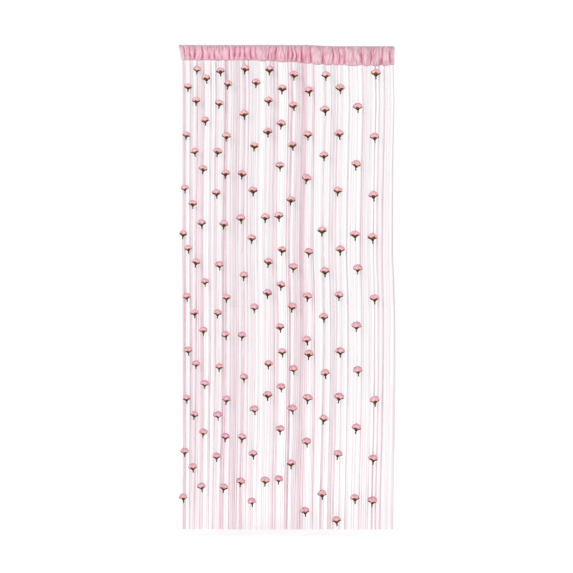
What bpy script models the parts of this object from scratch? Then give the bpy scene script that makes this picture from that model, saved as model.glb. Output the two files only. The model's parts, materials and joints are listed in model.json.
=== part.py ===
"""Rosebud string curtain: a gathered rod-pocket heading, a fringe of plain strings and 15 strings of rosebuds.

Metres, +Z up. The origin is the middle of the heading's top edge, and the curtain's front faces -Y.
Tables hold millimetres. Their "at" and "hem_at" columns are measured from the heading's left end.
"""

import math
from bisect import bisect_right

import bmesh
import bpy
from mathutils import Vector
from mathutils.geometry import tessellate_polygon

MM = 0.001

# The whole curtain
CURTAIN_WIDTH = 887 * MM
CURTAIN_DROP = 2000 * MM
GAP = 0.3 * MM

# Heading: a teardrop sleeve, taller right of its middle
HEADING_HEIGHT_LEFT = 61 * MM
HEADING_HEIGHT_RIGHT = 80 * MM
HEADING_RISE_FROM = 300 * MM
HEADING_RISE_TO = 700 * MM
CLOTH_THICKNESS = 1.2 * MM
HEM_THICKNESS = 3.0 * MM
TAPE_HEIGHT = 4.0 * MM
END_LEAN = 11 * MM
CREASE_REACH = 4.5 * MM
CREASE_SHARE_OF_GAP = 0.28
CREASE_FALL = 1.2
TOP_DIP_SHARE = 0.6
PILLOW_SWELL = 0.8 * MM

# Half depth of the sleeve's outer face at each height below the top edge, and how strongly creases show there
SLEEVE_LEVELS = (
    {"below": 4.0 * MM, "half_depth": 12.0 * MM, "crease": 0.5},
    {"below": 15.0 * MM, "half_depth": 16.5 * MM, "crease": 0.9},
    {"below": 34.0 * MM, "half_depth": 13.0 * MM, "crease": 1.0},
    {"below": 51.0 * MM, "half_depth": 6.0 * MM, "crease": 1.0},
)
SLEEVE_REFERENCE_HEIGHT = 61 * MM
INNER_LEVELS = 3
INNER_TOP_SINK = 1.6 * MM
INNER_FIRST_SINK = 0.9 * MM
INNER_FOOT = 50 * MM

# Creases between the gathers: place along the top edge, depth, and how far the foot lies right of the head
GATHERS = (
    {"at": 20, "depth": 1.6, "lean": 8},
    {"at": 44, "depth": 2.5, "lean": 5},
    {"at": 70, "depth": 3.0, "lean": -7},
    {"at": 98, "depth": 3.4, "lean": 0},
    {"at": 119, "depth": 2.6, "lean": 7},
    {"at": 147, "depth": 3.0, "lean": 0},
    {"at": 178, "depth": 2.2, "lean": 2},
    {"at": 209, "depth": 3.4, "lean": 0},
    {"at": 235, "depth": 3.4, "lean": -8},
    {"at": 252, "depth": 3.0, "lean": -4},
    {"at": 272, "depth": 3.0, "lean": 0},
    {"at": 292, "depth": 2.8, "lean": 9},
    {"at": 313, "depth": 3.2, "lean": 8},
    {"at": 374, "depth": 2.8, "lean": -8},
    {"at": 400, "depth": 3.2, "lean": 0},
    {"at": 450, "depth": 3.4, "lean": 0},
    {"at": 466, "depth": 3.0, "lean": 0},
    {"at": 482, "depth": 2.6, "lean": 4},
    {"at": 507, "depth": 3.5, "lean": 0},
    {"at": 541, "depth": 3.2, "lean": 4},
    {"at": 596, "depth": 3.2, "lean": -5},
    {"at": 633, "depth": 3.0, "lean": 0},
    {"at": 662, "depth": 3.2, "lean": 0},
    {"at": 684, "depth": 2.4, "lean": -4},
    {"at": 748, "depth": 2.6, "lean": 6},
    {"at": 790, "depth": 2.8, "lean": 0},
    {"at": 836, "depth": 3.4, "lean": -2},
    {"at": 870, "depth": 2.2, "lean": 0},
)

# Seam line along the heading's foot
SEAM_FORWARD = 1.4 * MM
SEAM_CREASE_SHARE = 0.8
SCALLOP_DEPTH = 3.0 * MM
DEEPEST_CREASE = 3.5 * MM

# Plain strings, bunch by bunch: the middle of a bunch at its top and at the hem, how many strings, and its widths
BUNCHES = (
    {"at": 19, "hem_at": 21, "strings": 11, "top_width": 19, "hem_width": 13},
    {"at": 50, "hem_at": 46, "strings": 8, "top_width": 12, "hem_width": 9},
    {"at": 72, "hem_at": 61, "strings": 8, "top_width": 12, "hem_width": 9},
    {"at": 93, "hem_at": 84, "strings": 14, "top_width": 23, "hem_width": 18},
    {"at": 129, "hem_at": 115, "strings": 5, "top_width": 9, "hem_width": 14},
    {"at": 156, "hem_at": 142, "strings": 8, "top_width": 16, "hem_width": 11},
    {"at": 190, "hem_at": 169, "strings": 17, "top_width": 27, "hem_width": 25},
    {"at": 223, "hem_at": 211, "strings": 12, "top_width": 18, "hem_width": 13},
    {"at": 243, "hem_at": 230, "strings": 11, "top_width": 15, "hem_width": 10},
    {"at": 266, "hem_at": 253, "strings": 12, "top_width": 19, "hem_width": 16},
    {"at": 286, "hem_at": 273, "strings": 5, "top_width": 8, "hem_width": 9},
    {"at": 306, "hem_at": 294, "strings": 6, "top_width": 12, "hem_width": 8},
    {"at": 325, "hem_at": 319, "strings": 3, "top_width": 7, "hem_width": 6},
    {"at": 358, "hem_at": 344, "strings": 5, "top_width": 11, "hem_width": 12},
    {"at": 380, "hem_at": 374, "strings": 5, "top_width": 10, "hem_width": 11},
    {"at": 398, "hem_at": 391, "strings": 13, "top_width": 20, "hem_width": 13},
    {"at": 457, "hem_at": 441, "strings": 14, "top_width": 22, "hem_width": 14},
    {"at": 488, "hem_at": 470, "strings": 12, "top_width": 16, "hem_width": 13},
    {"at": 513, "hem_at": 501, "strings": 22, "top_width": 28, "hem_width": 31},
    {"at": 548, "hem_at": 546, "strings": 8, "top_width": 18, "hem_width": 15},
    {"at": 575, "hem_at": 567, "strings": 3, "top_width": 8, "hem_width": 6},
    {"at": 602, "hem_at": 585, "strings": 7, "top_width": 14, "hem_width": 8},
    {"at": 628, "hem_at": 616, "strings": 7, "top_width": 15, "hem_width": 10},
    {"at": 648, "hem_at": 631, "strings": 9, "top_width": 13, "hem_width": 9},
    {"at": 672, "hem_at": 662, "strings": 7, "top_width": 14, "hem_width": 11},
    {"at": 701, "hem_at": 685, "strings": 6, "top_width": 9, "hem_width": 8},
    {"at": 728, "hem_at": 716, "strings": 5, "top_width": 18, "hem_width": 10},
    {"at": 765, "hem_at": 751, "strings": 12, "top_width": 25, "hem_width": 22},
    {"at": 787, "hem_at": 774, "strings": 3, "top_width": 8, "hem_width": 6},
    {"at": 811, "hem_at": 794, "strings": 5, "top_width": 10, "hem_width": 9},
    {"at": 826, "hem_at": 812, "strings": 5, "top_width": 9, "hem_width": 8},
    {"at": 846, "hem_at": 831, "strings": 7, "top_width": 10, "hem_width": 8},
    {"at": 867, "hem_at": 857, "strings": 3, "top_width": 7, "hem_width": 6},
    {"at": 883, "hem_at": 877, "strings": 5, "top_width": 8, "hem_width": 8},
)
STRING_RADIUS = 0.75 * MM
STRING_KNEE_DROP = 35 * MM
STRING_ROW_DEPTHS = (9.0 * MM, 11.2 * MM, 13.4 * MM)
ROOT_MARGIN = 3 * MM
ROOT_SPACING = 1.8 * MM
PARTING_ROUNDS = 400
STRINGS_PER_TAPE_CELL = 3
TAPE_THICKNESS = 2.4 * MM
TAPE_GAP = 0.6 * MM

# Strings of rosebuds: place along the heading, and each bud's drop below the top edge in the arrangement
BUD_STRINGS = (
    {"at": 28, "drops": (179, 377, 595, 783)},
    {"at": 63, "drops": (107, 235, 444, 659)},
    {"at": 102, "drops": (143, 316, 516, 739)},
    {"at": 159, "drops": (114, 247, 445, 615)},
    {"at": 193, "drops": (167, 381, 534, 743)},
    {"at": 262, "drops": (104, 290, 537, 719)},
    {"at": 309, "drops": (161, 422, 605, 801)},
    {"at": 362, "drops": (108, 235, 363, 715)},
    {"at": 417, "drops": (186, 330, 503, 709)},
    {"at": 465, "drops": (129, 256, 419, 644)},
    {"at": 528, "drops": (194, 376, 555, 840)},
    {"at": 596, "drops": (131, 273, 461, 770)},
    {"at": 657, "drops": (184, 372, 606, 878)},
    {"at": 731, "drops": (262, 498, 787)},
    {"at": 803, "drops": (123, 385, 625, 798)},
)

# The arrangement hangs three times, one below the other. Each time keeps the drops between two limits.
ARRANGEMENT_REPEATS = (
    {"shift": 0, "from_drop": 0, "to_drop": 838},
    {"shift": 664, "from_drop": 178, "to_drop": 590},
    {"shift": 1083, "from_drop": 178, "to_drop": 900},
)
SWAY_LEFT = -0.034
SWAY_RIGHT = -0.019
SWAY_CENTRE_DROP = 500 * MM
BUD_PLANE_Y = -12 * MM
BUD_STRING_RADIUS = 0.8 * MM
KNOT_HALF_WIDTH = 3.0 * MM
KNOT_HALF_DEPTH = 1.1 * MM

# One rosebud: heights are from its own middle, which lies above the calyx
BUD_RADIUS = 18 * MM
BUD_DEPTH_SHARE = 0.83
BUD_SCALE_LEFT = 0.93
BUD_SCALE_RIGHT = 1.10
BUD_ABOVE_CALYX = 5 * MM
BUD_PROFILE = (
    {"height": 14.0 * MM, "radius_share": 0.66},
    {"height": 3.0 * MM, "radius_share": 1.0},
    {"height": -9.0 * MM, "radius_share": 0.42},
)
BUD_TOP = 17 * MM
BUD_STEM_END = -24 * MM
STEM_RADIUS = 1.1 * MM

# Colours
CLOTH_PINK = (0.86, 0.50, 0.58, 1.0)
STRING_PINK = (0.88, 0.60, 0.67, 1.0)
BUD_PINK = (0.85, 0.33, 0.42, 1.0)


def clear_scene():
    for thing in list(bpy.data.objects):
        bpy.data.objects.remove(thing, do_unlink=True)


def cloth_material(name, colour, roughness):
    """A Principled material in one colour, with no metal in it."""
    made = bpy.data.materials.new(name)
    made.use_nodes = True
    shader = made.node_tree.nodes["Principled BSDF"]
    shader.inputs["Base Color"].default_value = colour
    shader.inputs["Roughness"].default_value = roughness
    shader.inputs["Metallic"].default_value = 0.0
    return made


def add_object(name, shape, material):
    """Turns a closed bmesh into a named object with outward faces."""
    bmesh.ops.recalc_face_normals(shape, faces=shape.faces)
    mesh = bpy.data.meshes.new(name)
    shape.to_mesh(mesh)
    shape.free()
    mesh.materials.append(material)
    made = bpy.data.objects.new(name, mesh)
    bpy.context.scene.collection.objects.link(made)
    return made


def along(place):
    """World X of a place measured from the heading's left end, in metres."""
    return place - CURTAIN_WIDTH / 2


def share_across(place):
    """0 at the heading's left end and 1 at its right end."""
    return min(1.0, max(0.0, place / CURTAIN_WIDTH))


def mixed(left, right, share):
    return left + (right - left) * share


def crease_reach(number):
    """Half width of a crease: narrower where its neighbours are close."""
    places = [row["at"] * MM for row in GATHERS]
    gaps = [abs(places[number] - other) for k, other in enumerate(places) if abs(k - number) == 1]
    return min(CREASE_REACH, CREASE_SHARE_OF_GAP * min(gaps))


CREASES = tuple(
    {"at": row["at"] * MM, "depth": row["depth"] * MM, "lean": row["lean"] * MM, "reach": crease_reach(k)}
    for k, row in enumerate(GATHERS)
)


def gather_depth(place):
    """How far the cloth is drawn in at a place along the top edge."""
    return sum(
        crease["depth"] * math.exp(-CREASE_FALL * ((place - crease["at"]) / crease["reach"]) ** 2)
        for crease in CREASES
    )


def crease_lean(place):
    """How far the cloth's foot lies right of its head, read between the creases."""
    stops = [(0.0, END_LEAN)] + [(c["at"], c["lean"]) for c in CREASES] + [(CURTAIN_WIDTH, 0.0)]
    last = bisect_right([stop[0] for stop in stops], place) - 1
    last = min(max(last, 0), len(stops) - 2)
    (start, before), (end, after) = stops[last], stops[last + 1]
    return mixed(before, after, (place - start) / (end - start))


def soft_step(share):
    """0 up to a share of 0 and 1 from a share of 1, with a soft rise between."""
    inside = min(1.0, max(0.0, share))
    return inside * inside * (3 - 2 * inside)


def heading_height(place):
    risen = soft_step((place - HEADING_RISE_FROM) / (HEADING_RISE_TO - HEADING_RISE_FROM))
    return mixed(HEADING_HEIGHT_LEFT, HEADING_HEIGHT_RIGHT, risen)


def hem_level(place):
    """Z of the heading cloth's lower edge, where the tape begins."""
    return -(heading_height(place) - TAPE_HEIGHT)


def seam_y(place):
    """The seam comes forward under each pillow and goes back under each crease."""
    return gather_depth(place) * SEAM_CREASE_SHARE - SEAM_FORWARD


def scallop_level(place):
    """Z of the tape's lower edge, which hangs lower between the creases."""
    drawn_up = min(1.0, gather_depth(place) / DEEPEST_CREASE)
    return -heading_height(place) - SCALLOP_DEPTH * (1 - drawn_up)


def heading_columns():
    """Places along the top edge where the sleeve gets a section: on, beside and between its creases."""
    middles = [(a["at"] + b["at"]) / 2 for a, b in zip(CREASES, CREASES[1:])]
    columns = [0.0, CREASES[0]["at"] / 2, CURTAIN_WIDTH] + middles
    for crease in CREASES:
        columns += [crease["at"] - crease["reach"], crease["at"], crease["at"] + crease["reach"]]
    return sorted(columns)


def sleeve_section(place):
    """Outer and inner loops of the sleeve at one place, as (x, y, z) points."""
    stretch = (heading_height(place) - TAPE_HEIGHT) / SLEEVE_REFERENCE_HEIGHT
    drawn = gather_depth(place)
    swell = PILLOW_SWELL * (1 - min(1.0, drawn / DEEPEST_CREASE))
    foot = hem_level(place)
    lean = crease_lean(place)
    seam = seam_y(place)

    def point(y, z):
        return Vector((along(place) + lean * (z / foot), y, z))

    def wall(side, level, thickness, sink=0.0):
        z = -level["below"] * stretch - sink
        near_seam = max(0.0, (z / foot - 0.5) * 2)
        depth = level["half_depth"] - thickness + swell - drawn * level["crease"] * (1 - near_seam)
        return point(side * depth + seam * near_seam, z)

    top = point(0.0, -drawn * TOP_DIP_SHARE)
    front = [wall(-1, level, 0.0) for level in SLEEVE_LEVELS]
    back = [wall(1, level, 0.0) for level in SLEEVE_LEVELS]
    foot_front = point(seam - HEM_THICKNESS / 2, foot)
    foot_back = point(seam + HEM_THICKNESS / 2, foot)
    outer = [top] + front + [foot_front, foot_back] + back[::-1]

    inner_rows = SLEEVE_LEVELS[:INNER_LEVELS]
    sinks = [INNER_FIRST_SINK] + [0.0] * (INNER_LEVELS - 1)
    inner_front = [wall(-1, row, CLOTH_THICKNESS, sink) for row, sink in zip(inner_rows, sinks)]
    inner_back = [wall(1, row, CLOTH_THICKNESS, sink) for row, sink in zip(inner_rows, sinks)]
    inner_top = point(0.0, -drawn * TOP_DIP_SHARE - INNER_TOP_SINK)
    inner_z = -INNER_FOOT * stretch
    inner_foot = point(seam * max(0.0, (inner_z / foot - 0.5) * 2), inner_z)
    inner = [inner_top] + inner_front + [inner_foot] + inner_back[::-1]
    return outer, inner


def add_loop_faces(shape, first, second):
    """Quads between two closed loops with the same number of points."""
    count = len(first)
    for k in range(count):
        shape.faces.new((first[k], first[(k + 1) % count], second[(k + 1) % count], second[k]))


def fill_with_holes(shape, border, holes):
    """Triangles over the region inside a border and outside its holes, all given as bmesh vertices."""
    loops = [border] + holes
    flat = [[Vector((v.co.x, v.co.y, v.co.z)) for v in loop] for loop in loops]
    corners = [v for loop in loops for v in loop]
    for a, b, c in tessellate_polygon(flat):
        shape.faces.new((corners[a], corners[b], corners[c]))


def fill_cell_from_below(shape, border, holes):
    """As fill_with_holes, but worked out in plan, because the tape's lower edge isn't flat."""
    loops = [border] + holes
    plan = [[Vector((v.co.x, v.co.y, 0.0)) for v in loop] for loop in loops]
    corners = [v for loop in loops for v in loop]
    for a, b, c in tessellate_polygon(plan):
        shape.faces.new((corners[a], corners[b], corners[c]))


def build_heading(material):
    """The gathered sleeve, open at both ends."""
    shape = bmesh.new()
    sections = []
    for place in heading_columns():
        outer, inner = sleeve_section(place)
        sections.append(([shape.verts.new(p) for p in outer], [shape.verts.new(p) for p in inner]))
    for (outer_a, inner_a), (outer_b, inner_b) in zip(sections, sections[1:]):
        add_loop_faces(shape, outer_a, outer_b)
        add_loop_faces(shape, inner_a, inner_b)
    for outer, inner in (sections[0], sections[-1]):
        fill_with_holes(shape, outer, [inner])
    return add_object("heading", shape, material)


def plain_string_places():
    """For each plain string, from left to right: its place under the heading and at the hem."""
    places = []
    for bunch in BUNCHES:
        count = bunch["strings"]
        for k in range(count):
            share = (k + 0.5) / count - 0.5
            top = (bunch["at"] + bunch["top_width"] * share) * MM
            hem = (bunch["hem_at"] + bunch["hem_width"] * share) * MM
            places.append({"top": top, "hem": hem})
    for place, root in zip(places, parted([place["top"] for place in places])):
        place["root"] = root
    return places


def parted(roots):
    """Moves roots that are too near each other apart, and keeps them all between the tape's ends."""
    low = END_LEAN + ROOT_MARGIN
    high = CURTAIN_WIDTH - ROOT_MARGIN
    for _ in range(PARTING_ROUNDS):
        for k in range(len(roots) - 1):
            short = ROOT_SPACING - (roots[k + 1] - roots[k])
            if short > 0:
                roots[k] -= short / 2
                roots[k + 1] += short / 2
        roots = [min(max(root, low), high) for root in roots]
    return roots


def tape_stops(places):
    """Places of the tape's cell borders: its two ends, and midway between every third pair of strings."""
    stops = [END_LEAN]
    for k in range(STRINGS_PER_TAPE_CELL, len(places), STRINGS_PER_TAPE_CELL):
        stops.append((places[k - 1]["root"] + places[k]["root"]) / 2)
    return stops + [CURTAIN_WIDTH]


def tape_middle(stops, place):
    """Y and lower Z of the tape at a place, read between its cell borders."""
    last = min(max(bisect_right(stops, place) - 1, 0), len(stops) - 2)
    share = (place - stops[last]) / (stops[last + 1] - stops[last])
    y = mixed(seam_y(stops[last]), seam_y(stops[last + 1]), share)
    z = mixed(scallop_level(stops[last]), scallop_level(stops[last + 1]), share)
    return y, z


def string_ring(shape, centre, radius):
    """Three points round a string, one of them to the front."""
    ring = []
    for k in range(3):
        angle = math.radians(-90 + 120 * k)
        offset = Vector((radius * math.cos(angle), radius * math.sin(angle), 0.0))
        ring.append(shape.verts.new(centre + offset))
    return ring


def build_plain_strings(material):
    """The tape under the heading, with every plain string rooted in its lower edge."""
    shape = bmesh.new()
    places = plain_string_places()
    stops = tape_stops(places)
    borders = []
    for stop in stops:
        y = seam_y(stop)
        top = hem_level(stop) - TAPE_GAP
        low = scallop_level(stop)
        half = TAPE_THICKNESS / 2
        corners = ((y - half, top), (y - half, low), (y + half, low), (y + half, top))
        borders.append([shape.verts.new((along(stop), cy, cz)) for cy, cz in corners])
    for number, (left, right) in enumerate(zip(borders, borders[1:])):
        first = number * STRINGS_PER_TAPE_CELL
        roots = []
        for k, place in enumerate(places[first : first + STRINGS_PER_TAPE_CELL], start=first):
            roots.append(hang_string(shape, place, tape_middle(stops, place["root"]), k))
        shape.faces.new((left[0], left[1], right[1], right[0]))
        shape.faces.new((left[2], left[3], right[3], right[2]))
        shape.faces.new((left[3], left[0], right[0], right[3]))
        fill_cell_from_below(shape, [left[1], right[1], right[2], left[2]], roots)
    shape.faces.new(borders[0])
    shape.faces.new(borders[-1])
    return add_object("plain_strings", shape, material)


def hang_string(shape, place, root_middle, number):
    """One plain string, from its root in the tape, over its knee, to the hem. Returns its root's points."""
    root_y, root_z = root_middle
    row_y = STRING_ROW_DEPTHS[number % len(STRING_ROW_DEPTHS)]
    root = Vector((along(place["root"]), root_y, root_z))
    knee = Vector((along(place["top"]), row_y, root_z - STRING_KNEE_DROP))
    hem = Vector((along(place["hem"]), row_y, -CURTAIN_DROP))
    rings = [string_ring(shape, centre, STRING_RADIUS) for centre in (root, knee, hem)]
    add_loop_faces(shape, rings[0], rings[1])
    add_loop_faces(shape, rings[1], rings[2])
    shape.faces.new(rings[2])
    return rings[0]


def bud_drops(row):
    """Drops of one string's buds below the top edge, over the whole curtain."""
    return sorted(
        (drop + repeat["shift"]) * MM
        for repeat in ARRANGEMENT_REPEATS
        for drop in row["drops"]
        if repeat["from_drop"] <= drop < repeat["to_drop"]
    )


def sway(place, drop):
    """How far a bud string swings sideways at a drop. It swings the same way in each repeat."""
    shift = max(r["shift"] * MM for r in ARRANGEMENT_REPEATS if (r["shift"] + r["from_drop"]) * MM <= drop)
    slope = mixed(SWAY_LEFT, SWAY_RIGHT, share_across(place))
    return slope * (drop - shift - SWAY_CENTRE_DROP)


def foremost_tape(stops, place):
    """The smallest Y of the tape's middle over the width of a knot."""
    reach = KNOT_HALF_WIDTH + GAP
    inside = [stop for stop in stops if place - reach < stop < place + reach]
    return min(tape_middle(stops, p)[0] for p in [place - reach, place, place + reach] + inside)


def ring_of(shape, centre, count, radius_x, radius_y):
    """Points round a centre. Three or six points, with one of them to the front."""
    ring = []
    for k in range(count):
        angle = math.radians(-90 + 360 * k / count)
        ring.append(shape.verts.new(centre + Vector((radius_x * math.cos(angle), radius_y * math.sin(angle), 0.0))))
    return ring


def join_rings(shape, upper, lower):
    """Faces between two rings of three or six points. Three meet six with three triangles a side."""
    if len(upper) == len(lower):
        add_loop_faces(shape, upper, lower)
        return
    few, many = sorted((upper, lower), key=len)
    for k in range(3):
        here, after = few[k], few[(k + 1) % 3]
        shape.faces.new((here, many[2 * k], many[2 * k + 1]))
        shape.faces.new((here, many[2 * k + 1], after))
        shape.faces.new((after, many[2 * k + 1], many[(2 * k + 2) % 6]))


def bud_string_rings(shape, row, stops):
    """Rings from the sewn knot down to the hem, swelling at each bud."""
    place = row["at"] * MM
    scale = mixed(BUD_SCALE_LEFT, BUD_SCALE_RIGHT, share_across(place))
    drops = bud_drops(row)
    knot_place = place + sway(place, drops[0])
    first_x = along(knot_place)
    tape_low = tape_middle(stops, knot_place)[1]
    knot_y = foremost_tape(stops, knot_place) - TAPE_THICKNESS / 2 - GAP - KNOT_HALF_DEPTH
    knot_top = hem_level(knot_place + KNOT_HALF_WIDTH) - GAP
    rings = [
        ring_of(shape, Vector((first_x, knot_y, z)), 6, KNOT_HALF_WIDTH, KNOT_HALF_DEPTH)
        for z in (knot_top, tape_low)
    ]
    x = first_x
    for drop in drops:
        x = along(place) + sway(place, drop)
        middle = BUD_ABOVE_CALYX * scale - drop
        tip = Vector((x, BUD_PLANE_Y, middle + BUD_TOP * scale))
        rings.append(ring_of(shape, tip, 3, BUD_STRING_RADIUS, BUD_STRING_RADIUS))
        for level in BUD_PROFILE:
            radius = BUD_RADIUS * level["radius_share"] * scale
            centre = Vector((x, BUD_PLANE_Y, middle + level["height"] * scale))
            rings.append(ring_of(shape, centre, 6, radius, radius * BUD_DEPTH_SHARE))
        stem_end = Vector((x, BUD_PLANE_Y, max(middle + BUD_STEM_END * scale, -CURTAIN_DROP)))
        rings.append(ring_of(shape, stem_end, 3, STEM_RADIUS, STEM_RADIUS))
    if rings[-1][0].co.z > -CURTAIN_DROP + BUD_TOP:
        hem = Vector((x, BUD_PLANE_Y, -CURTAIN_DROP))
        rings.append(ring_of(shape, hem, 3, BUD_STRING_RADIUS, BUD_STRING_RADIUS))
    return rings


def build_bud_string(number, row, stops, material):
    """One string with its sewn knot and its rosebuds."""
    shape = bmesh.new()
    rings = bud_string_rings(shape, row, stops)
    for upper, lower in zip(rings, rings[1:]):
        join_rings(shape, upper, lower)
    shape.faces.new(rings[0])
    shape.faces.new(rings[-1])
    return add_object(f"bud_string_{number:02d}", shape, material)


def main():
    clear_scene()
    cloth = cloth_material("heading_cloth", CLOTH_PINK, 0.75)
    string = cloth_material("string_yarn", STRING_PINK, 0.65)
    bud = cloth_material("rosebud", BUD_PINK, 0.8)
    build_heading(cloth)
    build_plain_strings(string)
    stops = tape_stops(plain_string_places())
    for number, row in enumerate(BUD_STRINGS, start=1):
        build_bud_string(number, row, stops, bud)


main()
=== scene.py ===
"""Rosebud string curtain: the looks of its gathered heading, its plain strings and its strings of rosebuds.

Metres, +Z up. The origin is the middle of the heading's top edge, and the curtain's front faces -Y.
Tables of places hold millimetres, and a place is measured from the heading's left end.
"""

import json
import math
import random
from bisect import bisect_right

import bmesh
import bpy
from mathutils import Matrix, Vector, noise

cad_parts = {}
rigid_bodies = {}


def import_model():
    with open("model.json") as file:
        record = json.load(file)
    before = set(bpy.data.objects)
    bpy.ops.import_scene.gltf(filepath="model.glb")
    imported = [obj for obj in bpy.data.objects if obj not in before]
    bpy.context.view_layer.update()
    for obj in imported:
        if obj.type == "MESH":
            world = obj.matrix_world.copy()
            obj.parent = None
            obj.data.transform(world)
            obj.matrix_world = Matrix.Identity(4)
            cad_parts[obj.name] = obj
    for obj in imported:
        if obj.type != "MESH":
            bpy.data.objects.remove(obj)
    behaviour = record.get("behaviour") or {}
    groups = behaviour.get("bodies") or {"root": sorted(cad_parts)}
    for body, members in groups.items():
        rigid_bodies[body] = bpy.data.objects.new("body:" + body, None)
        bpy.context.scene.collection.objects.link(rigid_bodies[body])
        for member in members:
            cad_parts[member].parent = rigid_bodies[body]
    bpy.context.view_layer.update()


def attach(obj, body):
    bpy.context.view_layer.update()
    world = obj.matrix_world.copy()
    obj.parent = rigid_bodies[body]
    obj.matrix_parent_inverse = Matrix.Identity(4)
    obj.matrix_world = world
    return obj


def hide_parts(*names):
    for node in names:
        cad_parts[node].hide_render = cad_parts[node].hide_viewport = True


MM = 0.001

# The whole curtain
CURTAIN_WIDTH = 887 * MM
CURTAIN_DROP = 2000 * MM
GAP = 0.3 * MM

# Heading: a gathered sleeve, taller right of its middle
HEADING_HEIGHT_LEFT = 61 * MM
HEADING_HEIGHT_RIGHT = 80 * MM
HEADING_RISE_FROM = 300 * MM
HEADING_RISE_TO = 700 * MM
TAPE_HEIGHT = 4.0 * MM
TAPE_THICKNESS = 2.4 * MM
TAPE_INSIDE = 1.5 * MM
# Painted shade and tone on the tape: some painted shade of creases and folds, no painted edge shade, and half
# the bunched tone
TAPE_LOOKS = {"fold": 0.3, "edge": 0.0, "bunched": 0.5}
END_LEAN = 11 * MM
SLEEVE_HALF_DEPTH = 16.5 * MM
SLEEVE_DOME_SHARE = 0.246
SLEEVE_TAPER = 1.6
HEM_HALF_THICKNESS = 1.5 * MM
CLOTH_THICKNESS = 0.8 * MM
HEADING_CLOTH_FLAT = (1.05, 0.17)

# The top edge lies a little lower right of the middle
TOP_STEP = 5 * MM
TOP_STEP_FROM = 520 * MM
TOP_STEP_TO = 640 * MM

# The cloth's foot hangs in a lobe between every two creases
LOBE_LEFT = 4.5 * MM
LOBE_RIGHT = 8.0 * MM
LOBE_FULL_WIDTH = 42 * MM
LOBE_ROUNDNESS = 0.55

# Creases between the gathers: place along the top edge, depth, and how far the foot lies right of the head
GATHERS = (
    (20, 1.6, 8), (44, 2.5, 5), (70, 3.0, -7), (98, 3.4, 0), (119, 2.6, 7),
    (147, 3.0, 0), (178, 2.2, 2), (209, 3.4, 0), (235, 3.4, -8), (252, 3.0, -4),
    (272, 3.0, 0), (292, 2.8, 9), (313, 3.2, 8), (374, 2.8, -8), (400, 3.2, 0),
    (450, 3.4, 0), (466, 3.0, 0), (482, 2.6, 4), (507, 3.5, 0), (541, 3.2, 4),
    (596, 3.2, -5), (633, 3.0, 0), (662, 3.2, 0), (684, 2.4, -4), (748, 2.6, 6),
    (790, 2.8, 0), (836, 3.4, -2), (870, 2.2, 0),
)
DEEPEST_CREASE = 3.5 * MM
CREASE_REACH = 4.5 * MM
CREASE_SHARE_OF_GAP = 0.28
CREASE_FALL = 1.2
CREASE_TOP_SHARE = 0.6
CREASE_FOOT_SHARE = 1.5
TOP_DIP_SHARE = 0.45
PILLOW_SWELL = 0.8 * MM
SEAM_CREASE_SHARE = 0.8
SEAM_FORWARD = 1.4 * MM
LEAN_ROUNDS = 5
BUNCHED_REACH = 28 * MM
BUNCHED_LEAST = 1.3 * MM
BUNCHED_MOST = 6.0 * MM
# Painted shade in and beside the creases: its width and strength at top and foot, how it widens, how much it
# fades at random, and where and how far it eases off near the foot
SHADE_WIDTH_TOP = 2.4 * MM
SHADE_WIDTH_FOOT = 4.8 * MM
CREASE_SHADE_TOP = 0.95
CREASE_SHADE_FOOT = 0.85
SHADE_FLARE = 1.5
CREASE_FADE_SHARE = 0.9
FOOT_SHADE_FROM = 0.88
FOOT_SHADE_LEFT = 0.3

# Small folds between the gathers: how deep, how wide, how long, and how narrow their bottoms are
SMALL_FOLDS = (
    (1.5 * MM, 20 * MM, 120 * MM, 0.16),
    (1.3 * MM, 11 * MM, 75 * MM, 0.20),
    (0.8 * MM, 6.0 * MM, 42 * MM, 0.28),
)
DEEPEST_FOLDS = 2.6 * MM
SMALL_FOLD_SHADE = 0.80
FOLD_SHARPNESS = 1.3
FOLD_DIP_SHARE = 0.4
LEAST_FOLDS_OPEN = 0.25
RELIEF_GAIN = 1.6
CREASE_FADE_LENGTH = 38 * MM
CREASE_WOBBLE = 5.0 * MM
FOLD_SLANT = 9.0 * MM
WOBBLE_LENGTH = 34 * MM
# Painted shade along the heading's top edge: how dark it is, how far down it reaches, how softly it fades,
# and how patchy it is along the edge
EDGE_SHADE = 0.95
EDGE_FALL = 0.52
EDGE_SOFTNESS = 1.6
EDGE_PATCHES = 0.9
EDGE_PATCH = 9 * MM
TOP_WAVE = 1.6 * MM
TOP_WAVE_LENGTH = 11 * MM
HEADING_COLUMNS = 1000
HEADING_ROWS_A_SIDE = 18
COLUMN_PLACES = [CURTAIN_WIDTH * c / (HEADING_COLUMNS - 1) for c in range(HEADING_COLUMNS)]

# Crinkles too fine to model, as bumps and hollows in the cloth's finish, with painted shade in their hollows
CRINKLES_A_METRE = (120.0, 70.0, 17.0)
CRINKLE_DETAIL = 3.0
CRINKLE_GRAIN = 0.6
WEAVE_SHARE = 0.12
UNEVEN_DYE = 1.2

# Stitches along the heading's foot
STITCH_LENGTH = 2.6 * MM
STITCH_PITCH = 3.6 * MM
STITCH_RADIUS = 0.35 * MM
STITCH_ABOVE_HEM = 7.0 * MM
STITCH_MARGIN = 4 * MM

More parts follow.
